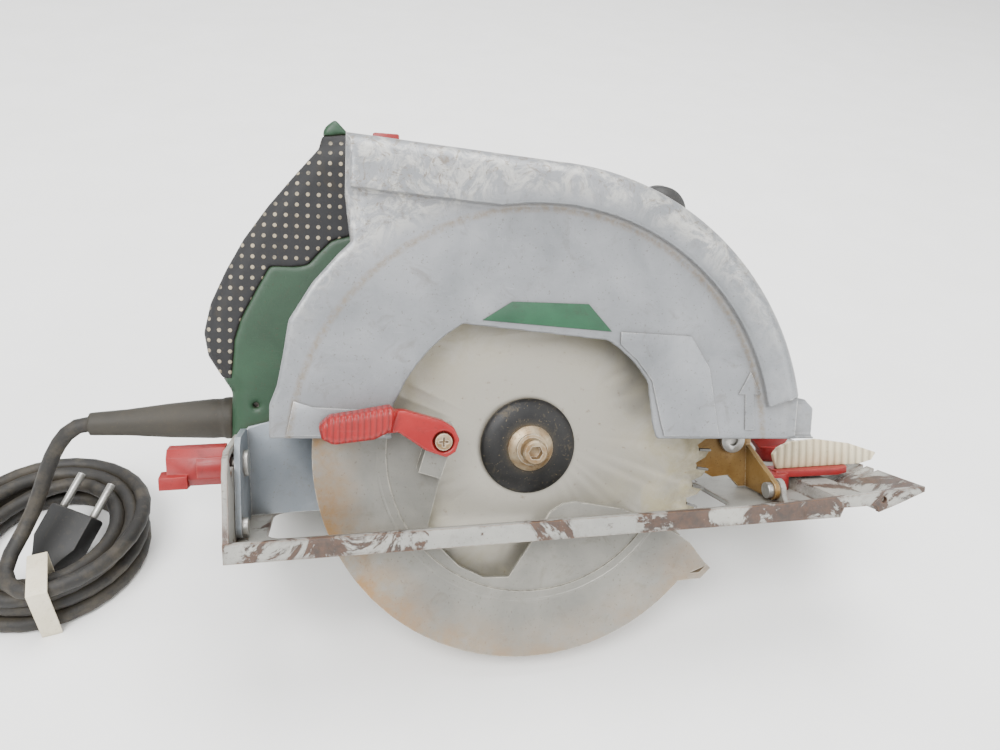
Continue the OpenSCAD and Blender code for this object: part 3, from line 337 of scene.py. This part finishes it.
LOOKS = {
    "cast": worn("cast_guard", "7C7F82", "909295", "46361F", 0.38, 0.3, 0.4, 0.009, "D2D1CC", 0.7,
                 extra=cast_extra),
    "label": worn("green_label", "124028", "1B5033", "2C2B20", 0.5, 0, 0.5, 0.002, scale=2),
    "green": worn("green_housing", "1A3722", "22452D", "3A3524", 0.5, 0, 0.4, 0.006, "66765F", 0.5),
    "grip": worn("dark_grip", "17171A", "222223", "463F33", 0.72, 0, 0.35, 0.004, extra=grip_extra),
    "black": worn("black_plastic", "1D1D1E", "2B2A29", "665C4C", 0.5, 0, 0.3, 0.005, "55524D", 0.4),
    "red": worn("red_plastic", "7A0E12", "8E1919", "3A1A12", 0.42, 0, 0.45, 0.004, "C9584B", 0.5),
    "lever": worn("red_lever", "860E11", "991918", "3C1910", 0.4, 0, 0.4, 0.004, "C0503F", 0.5,
                  extra=lever_ribs),
    "blade": blade_look(),
    "tips": worn("carbide", "6F6E6B", "8A8984", "4A4032", 0.4, 0.7, 0.5, 0.002, scale=3),
    "flange": worn("flange_black", "1A1A1B", "292827", "74674F", 0.5, 0.3, 0.55, 0.004, "8C8474", 0.7,
                   scale=2),
    "bolt": worn("rusty_bolt", "8A6E4B", "B5A88F", "4E3422", 0.42, 0.7, 0.55, 0.002, "DDD6C6", 0.9,
                 scale=3),
    "guard": worn("guard_sheet", "7D7C76", "918F87", "52432A", 0.4, 0.35, 0.4, 0.007, "D0CBBC", 0.8,
                  extra=guard_extra),
    "steel": worn("steel", "A8A7A3", "C3C2BD", "6C5235", 0.36, 0.85, 0.3, 0.003, "E6E5E1", 0.6, scale=2),
    "dark_steel": worn("dark_steel", "5E5F61", "76777A", "3C342A", 0.45, 0.75, 0.3, 0.003, scale=2),
    "plate": worn("plate_paint", "8C8C87", "A3A29B", "54452F", 0.5, 0.05, 0.45, 0.007, "6E4A2C", 0.9,
                  extra=rust_extra),
    "amber": worn("amber_bracket", "7D5C2C", "9A7B4A", "472E18", 0.4, 0.3, 0.5, 0.006, "D8C9A6", 0.7,
                  scale=1.6),
    "bracket": worn("grey_bracket", "747C84", "888F95", "6A5C48", 0.45, 0.3, 0.35, 0.005, "CDCFCE", 0.7),
    "window": worn("cream_window", "D3C29A", "E2D6B8", "80683F", 0.35, 0, 0.35, 0.003,
                   extra=ribs(1500, 0)),
    "cord": worn("cord_rubber", "161514", "23211E", "463F32", 0.62, 0, 0.4, 0.004, scale=1.5,
                 extra=dusty_cord),
    "sleeve": worn("sleeve_rubber", "29261F", "38342C", "50473A", 0.66, 0, 0.45, 0.004, scale=1.5),
    "plug": worn("plug_rubber", "1A1A1B", "282827", "504A3E", 0.58, 0, 0.35, 0.004, "615B52", 0.5),
    "band": worn("cream_band", "CFC5AB", "DDD5C0", "85795F", 0.75, 0, 0.4, 0.002, scale=3),
    "brass": worn("brass", "B08D4A", "C5A564", "5B4426", 0.35, 0.9, 0.3, 0.003, scale=2),
    "copper": worn("copper", "A4653C", "B97B50", "4E2F1E", 0.4, 0.8, 0.3, 0.003, scale=2),
    "inside": worn("inside_plastic", "2A2C2D", "393B3C", "57513F", 0.5, 0, 0.25, 0.004),
}


# ------------------------------------------------------------------ pieces
BODY_OF = {n: b for b, names in frame["record"]["behaviour"]["bodies"].items() for n in names}


def settle(obj, node, look):
    """Gives the piece its look and its body, and hides the CAD node that it stands for."""
    obj.data.materials.clear()
    obj.data.materials.append(LOOKS[look])
    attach(obj, BODY_OF[node])
    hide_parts(node)
    return obj


def copied(node, place):
    """The CAD node's surface as a clean mesh in the frame place, and its object."""
    mesh = frame["nodes"][node].data.copy()
    mesh.name = node + "_skin"
    mesh.transform(place.inverted())
    shape = bmesh.new()
    shape.from_mesh(mesh)
    bmesh.ops.remove_doubles(shape, verts=shape.verts, dist=2e-6)
    bmesh.ops.dissolve_limit(shape, angle_limit=math.radians(0.6), verts=shape.verts, edges=shape.edges)
    shape.to_mesh(mesh)
    shape.free()
    for name in [a.name for a in mesh.attributes if a.name == "custom_normal"]:
        mesh.attributes.remove(mesh.attributes[name])
    obj = bpy.data.objects.new(node + "_piece", mesh)
    bpy.context.scene.collection.objects.link(obj)
    obj.matrix_world = place
    return obj


def applied(obj):
    """Replaces the object's mesh by the one its modifiers make."""
    bpy.context.view_layer.update()
    made = bpy.data.meshes.new_from_object(obj.evaluated_get(bpy.context.evaluated_depsgraph_get()))
    obj.modifiers.clear()
    obj.data = made
    return obj


def smooth(obj, angle=40):
    obj.data.polygons.foreach_set("use_smooth", [True] * len(obj.data.polygons))
    obj.data.set_sharp_from_angle(angle=math.radians(angle))


def crisp(node, look, place=SAW, width=0.4, segments=2):
    """A machined or moulded piece: the CAD surface with small rounded edges."""
    obj = copied(node, place)
    bevel = obj.modifiers.new("edges", "BEVEL")
    bevel.width = width * MM
    bevel.segments = segments
    bevel.limit_method = "ANGLE"
    bevel.angle_limit = math.radians(38)
    bevel.use_clamp_overlap = True
    applied(obj)
    smooth(obj)
    return settle(obj, node, look)


def soft(node, look, place=SAW, voxel=1.2, rounds=6, shape=None):
    """A cast or soft-moulded piece: the CAD surface remeshed finely and smoothed."""
    obj = copied(node, place)
    grid = obj.modifiers.new("grid", "REMESH")
    grid.mode = "VOXEL"
    grid.voxel_size = voxel * MM
    if rounds:
        ease = obj.modifiers.new("ease", "SMOOTH")
        ease.factor = 0.5
        ease.iterations = rounds
    applied(obj)
    if shape:
        points = np.zeros(len(obj.data.vertices) * 3)
        obj.data.vertices.foreach_get("co", points)
        points = shape(points.reshape(-1, 3))
        obj.data.vertices.foreach_set("co", points.ravel())
        obj.data.update()
    smooth(obj, 80)
    return settle(obj, node, look)


def round_rim(points):
    """Rounds the guard's near rim along its arc, its straight top and its front."""
    rim, radius, arc_end, top_slope, front_x = 131, 9, 4.6, 0.0659, 127.6
    inner_wall, channel_wall, edge = 126.5, -27.2, 9
    x, y, z = points.T / MM
    away = np.hypot(x, z)
    flat = rim + (z - (130.9 + (arc_end - x) * top_slope))
    front = rim + (x - front_x)
    reach = np.where(x < arc_end, flat, np.where(np.arctan2(z, x) < math.radians(13), front, away))
    out, near = reach - (rim - radius), -20 - y
    size = np.hypot(out, near)
    hit = (out > 0) & (near > 0) & ((reach > inner_wall) | (y < channel_wall)) & (z > edge)
    share = np.where(hit, radius / np.maximum(size, 1e-6), 1)
    new_out, new_near = out * share, near * share
    shift = np.where(hit, new_out - out, 0)
    slope_x = np.where(x < arc_end, 0.0, np.where(reach == front, 1.0, x / np.maximum(away, 1e-6)))
    slope_z = np.where(x < arc_end, 1.0, np.where(reach == front, 0.0, z / np.maximum(away, 1e-6)))
    x = x + shift * slope_x
    z = z + shift * slope_z
    y = np.where(hit, -20 - new_near, y)
    return np.stack([x, y, z], 1) * MM


def extruded(name, outline, y0, y1, place, body, look, lip=0.25):
    """A thin raised shape on the guard's face, from an XZ outline in millimetres."""
    mesh = bpy.data.meshes.new(name)
    shape = bmesh.new()
    near = [shape.verts.new((x * MM, y0 * MM, z * MM)) for x, z in outline]
    far = [shape.verts.new((x * MM, y1 * MM, z * MM)) for x, z in outline]
    shape.faces.new(near)
    shape.faces.new(far[::-1])
    for i in range(len(outline)):
        j = (i + 1) % len(outline)
        shape.faces.new((near[j], near[i], far[i], far[j]))
    bmesh.ops.recalc_face_normals(shape, faces=shape.faces)
    shape.to_mesh(mesh)
    shape.free()
    obj = bpy.data.objects.new(name, mesh)
    bpy.context.scene.collection.objects.link(obj)
    obj.matrix_world = place
    bevel = obj.modifiers.new("edges", "BEVEL")
    bevel.width = lip * MM
    bevel.segments = 2
    bevel.limit_method = "ANGLE"
    applied(obj)
    smooth(obj)
    obj.data.materials.append(LOOKS[look])
    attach(obj, body)
    return obj


# ------------------------------------------------------------------ cord
CORD_D = 7.4
COIL = Vector((-234.42, -15.19, 0))
SLEEVE_TIP = Vector((-200.93, -8.5, 82.37))
DROP = [(0, 0, 0), (-5.5, -0.8, -0.5), (-10.8, -2.2, -3.8), (-15, -3.3, -8.8), (-18.8, -4.6, -14.8),
        (-22.6, -6.7, -22.4), (-26.8, -10.1, -32), (-31, -14.6, -41), (-36, -21.5, -49),
        (-40.2, -30.5, -54)]
LANDING = [(-7.6, -33), (-4, -40.5), (2.5, -45.3), (10, -46.8)]


def cord_path():
    """Centreline of the cord in millimetres: down from the sleeve, round the coil, to the plug."""
    step, out, inner, low = 12, 48.5, 33.5, CORD_D / 2
    layer = [low + CORD_D * k for k in range(4)]
    path = [SLEEVE_TIP + Vector(p) for p in DROP]
    path += [COIL + Vector((x, y, layer[3])) for x, y in LANDING]

    def turn(a0, a1, r0, r1, z0, z1, skip=1):
        n = max(2, round((a1 - a0) / step))
        for i in range(skip, n + 1):
            t = i / n
            a = math.radians(a0 + (a1 - a0) * t)
            ease = t * t * (3 - 2 * t)
            r = r0 + (r1 - r0) * t
            path.append(COIL + Vector((r * math.cos(a), r * math.sin(a), z0 + (z1 - z0) * ease)))

    turn(290, 340, 48, out, layer[3], layer[3], 0)
    turn(340, 420, out, out, layer[3], layer[2])
    turn(420, 1140, out, inner, layer[2], layer[2])
    turn(1140, 1220, inner, inner, layer[2], layer[1])
    turn(1220, 1940, inner, out, layer[1], layer[1])
    turn(1940, 2020, out, out, layer[1], layer[0])
    turn(2020, 2740, out, inner, layer[0], layer[0])
    start, bend, parts = path[-1].copy(), 16.2, 9
    for i in range(1, parts + 1):
        t = i / parts
        a0, a1 = math.radians(310), math.radians(310 + 110 * t)
        path.append(start + Vector((bend * (math.sin(a1) - math.sin(a0)),
                                    bend * (math.cos(a0) - math.cos(a1)), 1.5 * t * t)))
    return path


def add_cord():
    path = cord_path()
    data = bpy.data.curves.new("mains_cord_piece", "CURVE")
    data.dimensions = "3D"
    data.bevel_depth = CORD_D / 2 * MM
    data.bevel_resolution = 4
    data.use_fill_caps = True
    line = data.splines.new("POLY")
    line.points.add(len(path) - 1)
    for point, at in zip(line.points, path):
        point.co = (*(at * MM), 1)
    line.use_smooth = True
    data.materials.append(LOOKS["cord"])
    cable = bpy.data.objects.new("mains_cord_piece", data)
    bpy.context.scene.collection.objects.link(cable)
    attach(cable, BODY_OF["mains_cord"])
    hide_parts("mains_cord", "cord_coil")
    length = sum((b - a).length for a, b in zip(path, path[1:])) * MM
    return cable, length


# ------------------------------------------------------------------ stage
def area(name, at, aim, size, power, tint=(1, 1, 1)):
    data = bpy.data.lights.new(name, "AREA")
    data.shape = "DISK"
    data.size = size
    data.energy = power
    data.color = tint
    lamp = bpy.data.objects.new(name, data)
    bpy.context.scene.collection.objects.link(lamp)
    lamp.location = at
    lamp.rotation_euler = (Vector(aim) - Vector(at)).to_track_quat("-Z", "Y").to_euler()


def add_stage():
    mesh = bpy.data.meshes.new("floor")
    shape = bmesh.new()
    bmesh.ops.create_grid(shape, x_segments=4, y_segments=4, size=8)
    shape.to_mesh(mesh)
    shape.free()
    floor = bpy.data.objects.new("floor", mesh)
    bpy.context.scene.collection.objects.link(floor)
    look = Look("pale_floor")
    colour = look.mix(look.span(look.noise(14, 6, 0.6), 0.3, 0.7), rgb("F4F4F2"), rgb("F9F9F8"))
    look.raise_by(look.noise(260, 5, 0.7), 0.1, 0.0004)
    mesh.materials.append(look.done(colour, 0.8))
    area("key", (-0.7, -0.9, 1.7), (0, 0, 0.1), 1.1, 52)
    area("fill", (1.3, -0.9, 0.9), (0, 0, 0.1), 1.2, 12)
    area("top", (0.2, 0.6, 1.9), (0, 0, 0.05), 1.4, 38)
    world = bpy.data.worlds.new("studio")
    world.use_nodes = True
    world.node_tree.nodes["Background"].inputs[0].default_value = (1, 1, 1, 1)
    world.node_tree.nodes["Background"].inputs[1].default_value = 1.15
    bpy.context.scene.world = world


# ------------------------------------------------------------------ build
add_camera()
cable, cord_length = add_cord()

CRISP = {
    "saw": {"lower_guard": ("guard", 0.35), "outer_flange": ("flange", 0.4),
          "clamping_bolt": ("bolt", 0.3), "guard_lever_screw": ("bolt", 0.15),
          "front_handle": ("black", 0.8),
          "trigger": ("black", 0.5), "lock_off_button": ("red", 1.0), "spindle_lock_button": ("red", 0.5),
          "motor_housing": ("green", 0.6), "motor_end_cap": ("green", 0.6), "gear_case": ("steel", 0.6),
          "bearing_bridge": ("steel", 0.6), "brush_caps": ("black", 0.3), "chip_deflector": ("amber", 0.3),
          "depth_pivot_bolt": ("steel", 0.4), "depth_clamp_bolt": ("steel", 0.3),
          "depth_clamp_lever": ("red", 0.6), "saw_blade": ("blade", 0.05), "blade_tips": ("tips", 0.1)},
    "base": {"front_bracket": ("amber", 0.4), "rear_bracket": ("bracket", 0.5),
             "bevel_pivot_pins": ("steel", 0.3),
           "bevel_bolt": ("steel", 0.3), "bevel_knob": ("red", 0.9), "base_plate": ("plate", 0.5),
           "guide_wing_screw": ("red", 0.8), "sight_arm": ("red", 0.6), "sight_window": ("window", 0.5)},
    "row": {"coil_band": ("band", 0.3), "plug": ("plug", 1.6), "plug_pins": ("steel", 0.5)},
}
PLACES = {"saw": SAW, "base": BASE, "row": ROW}
for place, rows in CRISP.items():
    for node, (look, width) in rows.items():
        crisp(node, look, PLACES[place], width)

LABEL = [(-28, 60.5), (-15, 69), (20, 69), (31.5, 57)]
label = extruded("label_piece", LABEL, GUARD_Y - 0.6, GUARD_Y + 0.1, SAW, "saw_body", "label", 0.12)
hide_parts("label_plate")
soft("upper_guard", "cast", voxel=1.1, rounds=3, shape=round_rim)
soft("guard_lever", "lever", voxel=0.7, rounds=4)
soft("handle_left_shell", "green", voxel=1.2, rounds=8)
soft("handle_right_shell", "green", voxel=1.2, rounds=8)
soft("soft_grip", "grip", voxel=0.9, rounds=5)
soft("cord_sleeve", "sleeve", voxel=0.8, rounds=2)

INNER = {"housing_screws": "steel", "trigger_switch": "inside", "cord_clamp": "inside",
         "stator": "dark_steel",
         "field_coils": "copper", "brush_holders": "brass", "carbon_brushes": "inside",
         "motor_bearings": "steel", "armature_shaft": "steel", "armature_core": "dark_steel",
         "commutator": "copper", "cooling_fan": "inside", "spindle_bearings": "steel", "spindle": "steel",
         "spindle_gear": "dark_steel", "inner_flange": "dark_steel", "guard_return_spring": "dark_steel"}
for node, look in INNER.items():
    frame["nodes"][node].data.materials.clear()
    frame["nodes"][node].data.materials.append(LOOKS[look])

ARROW = [(100, 12), (105, 12), (103.5, 29), (107, 29), (101, 40), (95.5, 29), (99, 29)]
PANEL = [(35.8, 57), (70, 56), (80, 41), (87, 9), (59.5, 9), (57.5, 15), (51.8, 34.9), (44.2, 44.2),
         (35.8, 51.2)]
REAR_PANEL = [(-111, 9), (-69, 9), (-69, 20), (-100, 21.5), (-108, 24)]
for name, outline, proud in (("guard_arrow", ARROW, 0.8), ("guard_panel", PANEL, 1.1),
                             ("guard_rear_panel", REAR_PANEL, 1.1)):
    raised = extruded(name, outline, GUARD_Y - proud, GUARD_Y + 0.5, SAW, "saw_body", "cast", 0.45)

add_stage()
